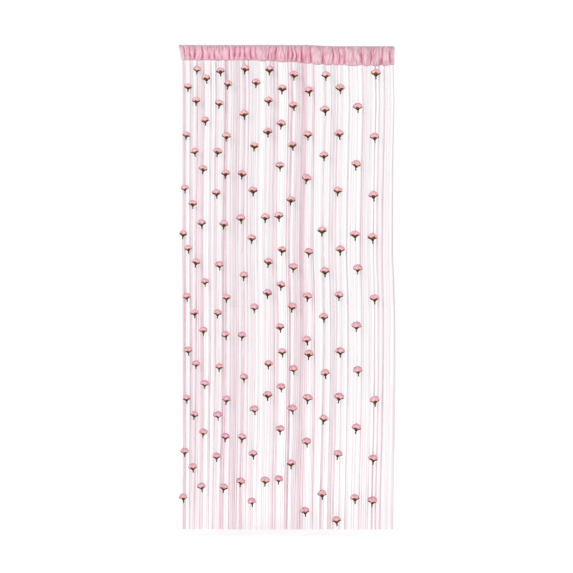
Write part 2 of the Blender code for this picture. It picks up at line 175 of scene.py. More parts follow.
# Plain strings, bunch by bunch: its middle at the top and at the hem, how many strings it has,
# and its width at the top and at the hem
BUNCHES = (
    (19, 21, 12, 19, 13), (50, 46, 8, 12, 9), (72, 61, 7, 12, 9), (93, 84, 12, 23, 18),
    (129, 115, 5, 9, 14), (156, 142, 8, 16, 11), (190, 169, 19, 27, 25), (223, 211, 10, 18, 13),
    (243, 230, 9, 15, 10), (266, 253, 11, 19, 16), (286, 273, 5, 8, 9), (306, 294, 6, 12, 8),
    (325, 319, 3, 7, 6), (358, 344, 5, 11, 12), (380, 374, 5, 10, 11), (398, 391, 13, 20, 13),
    (457, 441, 14, 22, 14), (488, 470, 12, 16, 13), (513, 501, 16, 28, 31), (548, 546, 8, 18, 15),
    (575, 567, 3, 8, 6), (602, 585, 6, 14, 8), (628, 616, 6, 15, 10), (648, 631, 7, 13, 9),
    (672, 662, 5, 14, 11), (701, 685, 5, 9, 8), (728, 716, 4, 18, 10), (765, 751, 9, 25, 22),
    (787, 774, 3, 8, 6), (811, 794, 5, 10, 9), (826, 812, 5, 9, 8), (846, 831, 8, 13, 12),
    (867, 857, 4, 7, 6), (883, 877, 5, 8, 8),
)
YARNS_A_STRING = 2
YARN_RADIUS = 0.48 * MM
YARN_SIDES = 5
FULL_TINT_STRINGS = 15
YARN_STEPS = 16
YARN_SEED = 11
BUNCH_FILL = 0.52
STRAYS = 0.30
STRAY_SPREAD = 1.1
WIDEST_STRAY = 2.2
STRING_DEPTH_FRONT = 8.6 * MM
STRING_DEPTH_BACK = 13.8 * MM
STRING_KNEE_DROP = 35 * MM
STRING_WAVE = 2.6 * MM
STRING_WAVE_LENGTH = 0.7
STRING_TREMBLE = 0.9 * MM
ROOT_MARGIN = 3 * MM
LOWEST_HEM_RAGGEDNESS = 3 * MM
KNEE_STEPS = 5
SLACK_STEPS = 3
FREE_KNEES = 3
STRAY_TINT = 0.25
TINT_SPREAD = (-0.4, 0.2)
HEM_SHIFT = 0.12

# Waves change this fast across the curtain: neighbours share the first, and each yarn has its own second
SHARED_WAVE_ACROSS = 28.0
OWN_WAVE_ACROSS = 1900.0
WAVE_AXES = (2, 1, 0)

# How the plain strings drift together on their way down: at each drop, how far they lie aside
DRIFTS = (
    (0, 4.0), (190, 5.0), (360, 2.0), (600, -1.6), (850, -2.0),
    (1100, 6.0), (1350, 7.0), (1600, 5.0), (1850, 0.0), (2000, -1.0),
)
LEAST_DRIFT_SHARE = 0.2
LONE_YARNS = 46
HEM_SPREAD = 1.3
LONE_LEAN = 11 * MM
LONE_TINT = 0.1
DEEPER_AT_HEM = 0.35

# Strings of rosebuds: place along the heading, and each bud's drop below the top edge in the arrangement
BUD_STRINGS = (
    (28, (179, 377, 595, 783)), (63, (107, 235, 444, 659)), (102, (143, 316, 516, 739)),
    (159, (114, 247, 445, 615)), (193, (167, 381, 534, 743)), (262, (104, 290, 537, 719)),
    (309, (161, 422, 605, 801)), (362, (108, 235, 363, 715)), (417, (186, 330, 503, 709)),
    (465, (129, 256, 419, 644)), (528, (194, 376, 555, 840)), (596, (131, 273, 461, 770)),
    (657, (184, 372, 606, 878)), (731, (262, 498, 787)), (803, (123, 385, 625, 798)),
)

# The arrangement hangs three times, one below the other: how far down it is moved each time,
# and the limits of the drops that it keeps
ARRANGEMENT_REPEATS = ((0, 0, 838), (664, 178, 590), (1083, 178, 900))
SWAY_LEFT = -0.034
SWAY_RIGHT = -0.019
SWAY_CENTRE_DROP = 500 * MM
BUD_PLANE_Y = -12 * MM
BUD_CORD_RADIUS = 0.6 * MM
BUD_CORD_TINT = 0.7
STILL_YARN = {"Sides": 6, "Wave size": 0.0, "Wave length": 1.0, "Tremble size": 0.0, "Seed": 0.0}

# A knot is a coil of yarn, wound forward in steps of so many degrees
KNOT_RADIUS = 0.8 * MM
KNOT_TALLER = 1.3
KNOT_STEP = 40
KNOT_STEPS = 22
KNOT_RISE = 0.12 * MM
KNOT_YARN_SHARE = 0.8
KNOT_TINT = 0.9

# One rosebud, in shares of its radius. Heights are from its own middle, and its stem points down.
BUD_RADIUS = 18 * MM
BUD_SCALE_LEFT = 0.93
BUD_SCALE_RIGHT = 1.10
BUD_DEPTH_SHARE = 0.83
BUD_ABOVE_CALYX = 5 * MM
BUD_VARIANTS = 5
BUD_SEED = 5
PETAL_SEED = 100
SEPAL_SEED = 200
PEACH_AT_TOP = 0.42
PEACH_AT_HEM = 0.12
PEACH_SPREAD = 0.08
BUD_SIZE_SPREAD = (0.95, 1.03)
BUD_LEAN = 9
BUD_TURN = 24
BUD_FOOT = -0.50
BUD_WIDEST = -0.02
BUD_CROWN = 0.97
CUP_TAPER = 1.5
CROWN_FULLNESS = 0.7
RIM_SHADE = {"outer": 0.47, "inner": 0.58}
PETAL_THICKNESS = 0.018
PETAL_FOOT_ANGLE = -78

# Rings of petals: their piece, how many, reach, height, the lip's angle, how far it curls, and half a
# petal's width as an angle
PETAL_LAYERS = (
    ("outer", 5, 0.97, 0.90, 40, 0.08, 48),
    ("inner", 4, 0.84, 0.95, 54, 0.06, 60),
    ("inner", 3, 0.62, 0.99, 64, 0.05, 74),
)
PETAL_GRIDS = {"outer": (8, 7), "inner": (6, 6)}
PETAL_HEIGHT_SPREAD = (0.92, 1.02)
PETAL_REACH_SPREAD = (0.95, 1.02)
PETAL_PLACE_SPREAD = 0.1
PETAL_FOOT_PHASE = 0.25
PETAL_WRAP = 0.07
LIP_ROUNDING = 26
LIP_SHARPNESS = 2.2
LIP_WAVE = 5
CURL_FROM = 0.72
CURL_SHARPNESS = 1.5
CURL_DIP = 0.04
RIM_FROM = 0.66

# A bud's rolled middle, and its rows of points: how high a row lies, and how wide it is
CORE = {"turns": 1.9, "steps": 18, "from": 0.05, "to": 0.28, "foot": 0.40, "top": 0.92, "sink": 0.10}
CORE_ROWS = ((0.0, 1.0), (0.6, 1.12), (1.0, 0.9))
CORE_FOOT_RIM = 0.3

# Sepals, and the rings of the swelling and stem under them: height and radius
SEPALS = 5
SEPAL_SPAN = 44
SEPAL_TAPER = 0.92
SEPAL_POINT = 2.6
SEPAL_REACH = 0.95
SEPAL_HEIGHT = 0.7
SEPAL_CLEARANCE = 0.10
SEPAL_FLARE = 0.05
SEPAL_FOOT_DROP = 0.05
SEPAL_FOOT_ANGLE = -88
SEPAL_TIP_ANGLE = -2
SEPAL_TIP_SPREAD = (-9, 7)
SEPAL_FOOT_SHADE = 0.4
SEPAL_GRID = (7, 6)
STEM_RADIUS = 0.145
STEM_END = -1.36
STEM_SIDES = 12
STEM_RINGS = (
    (-0.42, 0.26), (-0.48, 0.37), (-0.56, 0.39), (-0.66, 0.32),
    (-0.76, 0.21), (-0.86, 0.13), (-0.98, STEM_RADIUS), (STEM_END, STEM_RADIUS),
)
SWELLING_FOOT = -0.7
SWELLING_SHADE = 0.38

# Colours, as linear values
HEADING_PALE = (0.76, 0.57, 0.62, 1.0)
HEADING_PINK = (0.85, 0.49, 0.572, 1.0)
# Painted shade in the crinkles' hollows
HEADING_PAINTED_HOLLOW_SHADE = (0.64, 0.31, 0.40, 1.0)
# Painted shade in the creases and small folds
HEADING_PAINTED_FOLD_SHADE = (0.46, 0.13, 0.20, 1.0)
# Painted shade along the top edge
HEADING_PAINTED_EDGE_SHADE = (0.42, 0.27, 0.32, 1.0)
STITCH_PINK = (0.68, 0.35, 0.43, 1.0)
YARN_PALE = (0.76, 0.70, 0.73, 1.0)
YARN_ROSE = (0.87, 0.60, 0.68, 1.0)
PETAL_PEACH = (0.86, 0.50, 0.43, 1.0)
PETAL_PINK = (0.88, 0.49, 0.565, 1.0)
PETAL_RIM = (0.64, 0.26, 0.42, 1.0)
PETAL_SPOT = (0.66, 0.22, 0.36, 1.0)
SEPAL_BROWN = (0.17, 0.060, 0.022, 1.0)
SEPAL_OLIVE = (0.060, 0.030, 0.011, 1.0)
STEM_GREEN = (0.034, 0.024, 0.011, 1.0)
FLOOR_WHITE = (0.92, 0.92, 0.92, 1.0)

# Colours and shares at stops along a ramp. A share is a grey that says how much of a colour is mixed in.
MOST = (0.75, 0.75, 0.75, 1.0)
NOTHING = (0.0, 0.0, 0.0, 1.0)
# How much painted shade lies in the crinkles' hollows, over the crinkle value
HOLLOW_SHADE_STOPS = ((0.34, MOST), (0.47, NOTHING))
SPOT_STOPS = ((0.50, NOTHING), (0.64, MOST))
PETAL_STOPS = ((0.25, PETAL_PEACH), (0.75, PETAL_PINK))
PETAL_PATCH_SHARE = 0.35
SEPAL_STOPS = ((0.0, STEM_GREEN), (0.35, SEPAL_OLIVE), (1.0, SEPAL_BROWN))

# Each finish: its roughness, sheen and gloss, and how strong and how deep its bumps are
FINISHES = {
    "heading cloth": (0.6, 0.15, 0.5, 0.6, 1.6 * MM),
    "string yarn": (0.45, 0.3, 0.5, 0.5, 0.3 * MM),
    "rosebud petals": (0.55, 0.4, 0.5, 0.3, 0.2 * MM),
    "sepals and stem": (0.7, 0.0, 0.15, 0.4, 0.6 * MM),
    "stitching thread": (0.5, 0.2, 0.5, 0.0, 0.0),
    "white floor": (0.9, 0.0, 0.5, 0.0, 0.0),
}
SHEEN_ROUGHNESS = 0.45

# Threads a metre, and turns a metre of a yarn's twist
HEADING_THREADS = 1500.0
PETAL_THREADS = 2600.0
YARN_TWISTS = 260.0
TWIST_UNEVENNESS = 0.6

# Patches of uneven dye: their size, and how much fine grain lies on them
DYE_PATCHES = {
    "heading": (50 * MM, 0.6),
    "petals": (8 * MM, 0.6),
    "spots": (9 * MM, 0.4),
    "sepals": (4 * MM, 0.7),
}

# Floor and light
FLOOR_GLOW = 0.10
FLOOR_SIDE = 60.0
FLOOR_GAP = 0.03
WORLD_WHITE = (1.0, 1.0, 1.0, 1.0)
KEY_PLACE = (-2.6, -2.6, 1.6)
KEY_AIM = (0, 0, -0.9)
KEY_SIZE = 1.6
KEY_POWER = 60

# Camera: the photograph's frame, in metres at the curtain
LENS = 85
SENSOR = 36
FRAME_WIDTH = 2.361
FRAME_CENTRE = (-0.0004, 0.0, -0.9957)
FARTHEST_SEEN = 200


# Small helpers


def mixed(left, right, share):
    return left + (right - left) * share


def along(place):
    """World X of a place measured from the heading's left end, in metres."""
    return place - CURTAIN_WIDTH / 2


def clamped(value, low=0.0, high=1.0):
    return min(max(value, low), high)


def past(share, start):
    """How far a share lies past a start, up to 1 at a share of 1."""
    return max(0.0, share - start) / (1 - start)


def cloud(x, y, z):
    """Smooth noise round 0. A plain number in a call picks a part of its own, or how fast it changes."""
    return noise.noise(Vector((x, y, z)))


def round_point(radius, angle, z):
    return Vector((radius * math.cos(angle), radius * math.sin(angle), z))


def share_across(place):
    """0 at the heading's left end and 1 at its right end."""
    return clamped(place / CURTAIN_WIDTH)


def add_object(name, data, place=(0, 0, 0), turn=(0, 0, 0)):
    thing = bpy.data.objects.new(name, data)
    thing.location, thing.rotation_euler = place, turn
    bpy.context.scene.collection.objects.link(thing)
    return thing


def add_piece(name, points, faces, attributes=None, edges=()):
    """A mesh object from points and faces, with a number at each point for every attribute named."""
    mesh = bpy.data.meshes.new(name)
    mesh.from_pydata([tuple(p) for p in points], edges, faces)
    for key, values in (attributes or {}).items():
        mesh.attributes.new(key, "FLOAT", "POINT").data.foreach_set("value", values)
    return add_object(name, mesh)


def add_paths(name, paths, attributes):
    """An object made of open lines of points."""
    points, edges = [], []
    for path in paths:
        edges += [(k, k + 1) for k in range(len(points), len(points) + len(path) - 1)]
        points += path
    return add_piece(name, points, [], attributes, edges)


def grid_faces(columns, rows, first=0):
    """Quads over a grid of points that was filled column by column."""
    corners = [first + c * rows + r for c in range(columns - 1) for r in range(rows - 1)]
    return [(k, k + rows, k + rows + 1, k + 1) for k in corners]


def tube_faces(rings, sides):
    """Quads round a tube of rings of points, and a face over each end."""
    faces = []
    for r in range(rings - 1):
        for k in range(sides):
            a, b = r * sides + k, r * sides + (k + 1) % sides
            faces.append((a, b, b + sides, a + sides))
    last = (rings - 1) * sides
    return faces + [tuple(range(sides)), tuple(range(last, last + sides))]


def face_outwards(mesh):
    shape = bmesh.new()
    shape.from_mesh(mesh)
    bmesh.ops.recalc_face_normals(shape, faces=shape.faces)
    shape.to_mesh(mesh)
    shape.free()


def settle(piece):
    """Turns what a piece's modifiers make into its own plain mesh."""
    graph = bpy.context.evaluated_depsgraph_get()
    made = piece.evaluated_get(graph)
    mesh = bpy.data.meshes.new_from_object(made, preserve_all_data_layers=True, depsgraph=graph)
    piece.modifiers.clear()
    piece.data = mesh
    mesh.name = piece.name


def thicken(piece, thickness, offset):
    modifier = piece.modifiers.new("cloth thickness", "SOLIDIFY")
    modifier.thickness = thickness
    modifier.offset = offset
    settle(piece)


def hand_over(piece, slot, *nodes):
    """Gives a finished piece its body, and hides the solids that it stands for. Its slot is not used."""
    piece.data.shade_smooth()
    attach(piece, "root")
    if nodes:
        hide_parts(*nodes)


# Node trees


def new_tree(name, kind, inputs, outputs):
    """An empty node group: its tree, the values given to it, and its end node."""
    tree = bpy.data.node_groups.new(name, kind)
    for way, sockets in (("INPUT", inputs), ("OUTPUT", outputs)):
        for label, socket in sockets.items():
            tree.interface.new_socket(label, in_out=way, socket_type=f"NodeSocket{socket}")
    return tree, tree.nodes.new("NodeGroupInput").outputs, tree.nodes.new("NodeGroupOutput")


def feed(tree, node, feeds):
    """Gives a node's inputs, each a plain value or another node's output."""
    for key, value in feeds.items():
        if isinstance(value, bpy.types.NodeSocket):
            tree.links.new(value, node.inputs[key])
        else:
            node.inputs[key].default_value = value


def add_node(tree, kind, feeds=None, **settings):
    """Adds a node with its settings and what feeds its inputs, and gives its outputs."""
    node = tree.nodes.new(kind)
    for key, value in settings.items():
        setattr(node, key, value)
    feed(tree, node, feeds or {})
    return node.outputs


def maths(tree, operation, *values):
    return add_node(tree, "ShaderNodeMath", dict(enumerate(values)), operation=operation)[0]


def vector_maths(tree, operation, first, second):
    """Two vectors put together, or, for SCALE, a vector and a plain number."""
    feeds = {0: first, "Scale" if operation == "SCALE" else 1: second}
    return add_node(tree, "ShaderNodeVectorMath", feeds, operation=operation)[0]


def named_attribute(tree, name):
    return add_node(tree, "GeometryNodeInputNamedAttribute", {"Name": name}, data_type="FLOAT")["Attribute"]


def end_tree(tree, end, made, material):
    """Ends a geometry tree: what it made becomes one plain mesh of one material."""
    whole = add_node(tree, "GeometryNodeRealizeInstances", {"Geometry": made[0]})
    dyed = add_node(tree, "GeometryNodeSetMaterial", {"Geometry": whole[0], "Material": material})
    tree.links.new(dyed[0], end.inputs[0])
    return tree


def run_tree(piece, tree, values):
    """Runs a geometry tree over a piece with values for its named inputs, and keeps the plain mesh."""
    modifier = piece.modifiers.new(tree.name, "NODES")
    modifier.node_group = tree
    for item in tree.interface.items_tree:
        if item.item_type == "SOCKET" and item.in_out == "INPUT" and item.name in values:
            modifier[item.identifier] = values[item.name]
    settle(piece)


def yarn_tree():
    """Turns paths of points into round yarns that wave a little below their knee."""
    inputs = {"Paths": "Geometry", "Radius": "Float", "Sides": "Int", "Wave size": "Float"}
    inputs.update({"Wave length": "Float", "Tremble size": "Float", "Seed": "Float", "Yarn": "Material"})
    tree, given, end = new_tree("yarns along paths", "GeometryNodeTree", inputs, {"Yarns": "Geometry"})
    curves = add_node(tree, "GeometryNodeMeshToCurve", {"Mesh": given["Paths"]})
    where = add_node(tree, "GeometryNodeInputPosition")[0]
    place = add_node(tree, "ShaderNodeSeparateXYZ", {"Vector": where})

    def swing(across, size):
        """A move, mostly sideways, that neighbours share where across is small."""
        run = maths(tree, "DIVIDE", place["Z"], given["Wave length"])
        side = maths(tree, "MULTIPLY", place["X"], across)
        spot = add_node(tree, "ShaderNodeCombineXYZ", {"X": side, "Z": run})[0]
        feeds = {"Vector": spot, "W": given["Seed"], "Scale": 1.0, "Detail": 1.0}
        waves = add_node(tree, "ShaderNodeTexNoise", feeds, noise_dimensions="4D")["Color"]
        centred = vector_maths(tree, "SUBTRACT", waves, (0.5, 0.5, 0.5))
        return vector_maths(tree, "SCALE", vector_maths(tree, "MULTIPLY", centred, WAVE_AXES), size)

    shared = swing(SHARED_WAVE_ACROSS, given["Wave size"])
    own = swing(OWN_WAVE_ACROSS, given["Tremble size"])
    both = vector_maths(tree, "ADD", shared, own)
    offset = vector_maths(tree, "SCALE", both, named_attribute(tree, "slack"))
    moved = add_node(tree, "GeometryNodeSetPosition", {"Geometry": curves[0], "Offset": offset})
    feeds = {"Resolution": given["Sides"], "Radius": given["Radius"]}
    ring = add_node(tree, "GeometryNodeCurvePrimitiveCircle", feeds)
    feeds = {"Curve": moved[0], "Profile Curve": ring[0], "Fill Caps": True}
    tubes = add_node(tree, "GeometryNodeCurveToMesh", feeds)
    return end_tree(tree, end, tubes, given["Yarn"])


def bud_tree():
    """Puts a rosebud, one of several kinds, at each point, leaned and sized by the point's own values."""
    inputs = {"Points": "Geometry", "Kinds": "Collection", "Cloth": "Material"}
    tree, given, end = new_tree("rosebuds at points", "GeometryNodeTree", inputs, {"Buds": "Geometry"})
    feeds = {"Collection": given["Kinds"], "Separate Children": True, "Reset Children": True}
    kinds = add_node(tree, "GeometryNodeCollectionInfo", feeds)
    turns = {"X": "lean_x", "Y": "lean_y", "Z": "turn"}
    feeds = {axis: named_attribute(tree, name) for axis, name in turns.items()}
    angles = add_node(tree, "ShaderNodeCombineXYZ", feeds)
    facing = add_node(tree, "FunctionNodeEulerToRotation", {"Euler": angles[0]})
    feeds = {
        "Points": given["Points"],
        "Instance": kinds[0],
        "Pick Instance": True,
        "Instance Index": named_attribute(tree, "kind"),
        "Rotation": facing[0],
        "Scale": named_attribute(tree, "size"),
    }
    placed = add_node(tree, "GeometryNodeInstanceOnPoints", feeds)
    return end_tree(tree, end, placed, given["Cloth"])


def stitch_tree():
    """Lays one stitch after another along a path."""
    inputs = {"Path": "Geometry", "Pitch": "Float", "Length": "Float", "Radius": "Float"}
    inputs["Thread"] = "Material"
    tree, given, end = new_tree("stitches along a path", "GeometryNodeTree", inputs, {"Row": "Geometry"})
    curve = add_node(tree, "GeometryNodeMeshToCurve", {"Mesh": given["Path"]})
    feeds = {"Curve": curve[0], "Length": given["Pitch"]}
    spots = add_node(tree, "GeometryNodeCurveToPoints", feeds, mode="LENGTH")
    ball = add_node(tree, "GeometryNodeMeshIcoSphere", {"Radius": 1.0, "Subdivisions": 1})
    half = maths(tree, "MULTIPLY", given["Length"], 0.5)
    feeds = {"X": given["Radius"], "Y": given["Radius"], "Z": half}
    size = add_node(tree, "ShaderNodeCombineXYZ", feeds)
    feeds = {"Points": spots[0], "Instance": ball[0], "Rotation": spots["Rotation"], "Scale": size[0]}
    placed = add_node(tree, "GeometryNodeInstanceOnPoints", feeds)
    return end_tree(tree, end, placed, given["Thread"])


# Finishes


def weave_group():
    """Height of a plain weave over a UV map in metres."""
    inputs = {"UV": "Vector", "Threads a metre": "Float"}
    tree, given, end = new_tree("plain weave", "ShaderNodeTree", inputs, {"Height": "Float"})
    parts = add_node(tree, "ShaderNodeSeparateXYZ", {0: given["UV"]})
    waves = []
    for axis in ("X", "Y"):
        turns = maths(tree, "MULTIPLY", parts[axis], given["Threads a metre"])
        waves.append(maths(tree, "SINE", maths(tree, "MULTIPLY", turns, math.pi)))
    crossed = maths(tree, "MULTIPLY", *waves)
    tree.links.new(maths(tree, "MULTIPLY_ADD", crossed, 0.5, 0.5), end.inputs[0])
    return tree


def mottle_group():
    """Uneven dye: a value round 0.5 that changes slowly over the piece, with a finer grain on it."""
    inputs = {"Place": "Vector", "Patch size": "Float", "Grain": "Float"}
    tree, given, end = new_tree("uneven dye", "ShaderNodeTree", inputs, {"Value": "Float"})
    scale = maths(tree, "DIVIDE", 1.0, given["Patch size"])
    feeds = {"Vector": given["Place"], "Scale": scale, "Detail": 3.0, "Roughness": given["Grain"]}
    tree.links.new(add_node(tree, "ShaderNodeTexNoise", feeds)[0], end.inputs[0])
    return tree


def group_value(tree, group, feeds):
    return add_node(tree, "ShaderNodeGroup", feeds, node_tree=group)[0]


def dye_patches(tree, mottle, place, use):
    size, grain = DYE_PATCHES[use]
    return group_value(tree, mottle, {"Place": place, "Patch size": size, "Grain": grain})


def object_place(tree):
    return add_node(tree, "ShaderNodeTexCoord")["Object"]


def new_finish(name, **feeds):
    """A material with the roughness, sheen and gloss of its row in FINISHES, and its tree."""
    finish = bpy.data.materials.new(name)
    finish.use_nodes = True
    feeds["Roughness"], feeds["Sheen Weight"], feeds["Specular IOR Level"] = FINISHES[name][:3]
    feeds["Sheen Roughness"] = SHEEN_ROUGHNESS
    tree = finish.node_tree
    feed(tree, tree.nodes["Principled BSDF"], feeds)
    return finish, tree


def close_finish(finish, colour, height):
    """Gives a material its colour, and its bumps from a height."""
    tree = finish.node_tree
    strength, distance = FINISHES[finish.name][3:]
    bump = add_node(tree, "ShaderNodeBump", {"Height": height, "Strength": strength, "Distance": distance})
    feed(tree, tree.nodes["Principled BSDF"], {"Base Color": colour, "Normal": bump[0]})
    return finish


def mix_colours(tree, share, first, second):
    feeds = {"Factor": share, 6: first, 7: second}
    return add_node(tree, "ShaderNodeMix", feeds, data_type="RGBA", clamp_factor=True)[2]


def ramp(tree, value, stops):
    """Colour stops over a value from 0 to 1."""
    node = tree.nodes.new("ShaderNodeValToRGB")
    feed(tree, node, {"Fac": value})
    stripes = node.color_ramp.elements
    while len(stripes) < len(stops):
        stripes.new(0.5)
    for stripe, (position, colour) in zip(stripes, stops):
        stripe.position = position
        stripe.color = colour
    return node.outputs["Color"]


def read_value(tree, name):
    return add_node(tree, "ShaderNodeAttribute", attribute_name=name)["Fac"]


def heading_finish(weave, mottle):
    finish, tree = new_finish("heading cloth")
    uv = add_node(tree, "ShaderNodeUVMap", uv_map="cloth")[0]
    place = object_place(tree)
    threads = group_value(tree, weave, {"UV": uv, "Threads a metre": HEADING_THREADS})
    uneven = maths(tree, "SUBTRACT", dye_patches(tree, mottle, place, "heading"), 0.5)
    bunched_share = maths(tree, "MULTIPLY_ADD", uneven, UNEVEN_DYE, read_value(tree, "bunched"))
    pink = mix_colours(tree, bunched_share, HEADING_PALE, HEADING_PINK)
    upright = add_node(tree, "ShaderNodeMapping", {"Vector": place, "Scale": CRINKLES_A_METRE})[0]
    feeds = {"Vector": upright, "Scale": 1.0, "Detail": CRINKLE_DETAIL, "Roughness": CRINKLE_GRAIN}
    crinkle = add_node(tree, "ShaderNodeTexNoise", feeds)[0]
    # Painted shade in the crinkles' hollows, where the crinkle bumps are low
    pink = mix_colours(tree, ramp(tree, crinkle, HOLLOW_SHADE_STOPS), pink, HEADING_PAINTED_HOLLOW_SHADE)
    # Painted shade in the creases and small folds
    pink = mix_colours(tree, read_value(tree, "fold"), pink, HEADING_PAINTED_FOLD_SHADE)
    # Painted shade along the top edge
    pink = mix_colours(tree, read_value(tree, "edge"), pink, HEADING_PAINTED_EDGE_SHADE)
    return close_finish(finish, pink, maths(tree, "MULTIPLY_ADD", threads, WEAVE_SHARE, crinkle))


def yarn_finish():
    finish, tree = new_finish("string yarn")
    colour = mix_colours(tree, read_value(tree, "tint"), YARN_PALE, YARN_ROSE)
    feeds = {"Vector": object_place(tree), "Scale": YARN_TWISTS, "Detail": 1.0}
    feeds["Distortion"] = TWIST_UNEVENNESS
    twist = add_node(tree, "ShaderNodeTexWave", feeds, bands_direction="DIAGONAL")["Fac"]
    return close_finish(finish, colour, twist)


def petal_finish(weave, mottle):
    finish, tree = new_finish("rosebud petals")
    place = object_place(tree)
    patch = dye_patches(tree, mottle, place, "petals")
    shifted = maths(tree, "MULTIPLY_ADD", patch, PETAL_PATCH_SHARE, read_value(tree, "rise"))
    lowered = maths(tree, "SUBTRACT", shifted, read_value(tree, "tint"))
    colour = ramp(tree, lowered, PETAL_STOPS)
    colour = mix_colours(tree, read_value(tree, "rim"), colour, PETAL_RIM)
    spots = ramp(tree, dye_patches(tree, mottle, place, "spots"), SPOT_STOPS)
    colour = mix_colours(tree, spots, colour, PETAL_SPOT)
    threads = group_value(tree, weave, {"UV": place, "Threads a metre": PETAL_THREADS})
    return close_finish(finish, colour, threads)


def sepal_finish(mottle):
    finish, tree = new_finish("sepals and stem")
    colour = ramp(tree, read_value(tree, "rise"), SEPAL_STOPS)
    return close_finish(finish, colour, dye_patches(tree, mottle, object_place(tree), "sepals"))


# The heading's shape


def between(stops, place):
    """The values at the stops round a place, its share of the way between them, and how far that is."""
    last = clamped(bisect_right([stop[0] for stop in stops], place) - 1, 0, len(stops) - 2)
    (start, before), (end, after) = stops[last], stops[last + 1]
    return before, after, (place - start) / (end - start), end - start


def crease_reach(number):
    """Half width of a crease: narrower where its neighbours are close."""
    places = [at * MM for at, _, _ in GATHERS]
    gaps = [abs(places[number] - other) for k, other in enumerate(places) if abs(k - number) == 1]
    return min(CREASE_REACH, CREASE_SHARE_OF_GAP * min(gaps))


CREASES = tuple(
    {"at": at * MM, "depth": depth * MM, "lean": lean * MM, "reach": crease_reach(k)}
    for k, (at, depth, lean) in enumerate(GATHERS)
)
LEANS = ((0.0, END_LEAN), *((c["at"], c["lean"]) for c in CREASES), (CURTAIN_WIDTH, 0.0))


def gather_depth(place, fall=CREASE_FALL, reach=None):
    """How far the cloth is drawn in at a place. Each crease is felt over its own reach, or a given one."""
    return sum(
        c["depth"] * math.exp(-fall * ((place - c["at"]) / (reach or c["reach"])) ** 2) for c in CREASES
    )


def crease_lean(place):
    """How far the cloth's foot lies right of its head, read between the creases."""
    return mixed(*between(LEANS, place)[:3])


def soft_step(share):
    """0 up to a share of 0 and 1 from a share of 1, with a soft rise between."""
    inside = clamped(share)
    return inside * inside * (3 - 2 * inside)


def heading_height(place):
    risen = soft_step((place - HEADING_RISE_FROM) / (HEADING_RISE_TO - HEADING_RISE_FROM))
    return mixed(HEADING_HEIGHT_LEFT, HEADING_HEIGHT_RIGHT, risen)


def seam_y(place):
    """The seam comes forward under each pillow and goes back under each crease."""
    return gather_depth(place) * SEAM_CREASE_SHARE - SEAM_FORWARD


def tape_level(place):
    """Z of the tape's lower edge, inside the cloth's foot."""
    return -heading_height(place) + TAPE_INSIDE


def foot_level(place):
    """Z of the cloth's foot, in a lobe between every two creases."""
    _, _, share, width = between(LEANS, place)
    depth = mixed(LOBE_LEFT, LOBE_RIGHT, share_across(place)) * min(1.0, width / LOBE_FULL_WIDTH)
    return -heading_height(place) - depth * math.sin(math.pi * clamped(share)) ** LOBE_ROUNDNESS


def top_level(place):
    """Z of the top edge, with a soft step down right of the middle."""
    return -TOP_STEP * soft_step((place - TOP_STEP_FROM) / (TOP_STEP_TO - TOP_STEP_FROM))


def above(place):
    """The place along the top edge whose cloth reaches the foot at this place."""
    source = place
    for _ in range(LEAN_ROUNDS):
        source = place - crease_lean(source)
    return clamped(source, 0.0, CURTAIN_WIDTH)


def bunched(place):
    """How closely the cloth is drawn together round a place, from 0 to 1."""
    total = gather_depth(place, 1.0, BUNCHED_REACH)
    return clamped((total - BUNCHED_LEAST) / (BUNCHED_MOST - BUNCHED_LEAST))


def crease_shade(place, fall):
    """How much painted shade lies in and beside the creases, from 0 to 1. The shade widens towards the foot.
    """
    width = mixed(SHADE_WIDTH_TOP, SHADE_WIDTH_FOOT, fall**SHADE_FLARE)
    drawn = gather_depth(place, 1.0, width)
    faded = CREASE_FADE_SHARE * cloud(place / CREASE_FADE_LENGTH, 3.0, 2.5 * fall)
    return clamped(drawn / DEEPEST_CREASE * (mixed(CREASE_SHADE_TOP, CREASE_SHADE_FOOT, fall) + faded))


def fall_at(turn):
    """How far down the sleeve a turn lies, from 0 at its top to 1 at either foot."""
    return 1 - math.cos(abs(turn) * math.pi / 2)


def sleeve_half_depth(fall):
    """Half depth of the sleeve at a share of its height below the top: a dome, and a taper under it."""
    if fall < SLEEVE_DOME_SHARE:
        return SLEEVE_HALF_DEPTH * math.sqrt(1 - (1 - fall / SLEEVE_DOME_SHARE) ** 2)
    down = past(fall, SLEEVE_DOME_SHARE)
    return mixed(HEM_HALF_THICKNESS, SLEEVE_HALF_DEPTH, 1 - down**SLEEVE_TAPER)


def small_folds(place, run):
    """How far the cloth sinks into small folds. They are longer than wide, with narrow bottoms."""
    sink = 0.0
    for k, (depth, width, length, narrow) in enumerate(SMALL_FOLDS):
        spot = cloud(place / width, run / length, 7.0 * k)
        sink += depth * max(0.0, 1 - abs(spot) / narrow) ** FOLD_SHARPNESS
    return sink


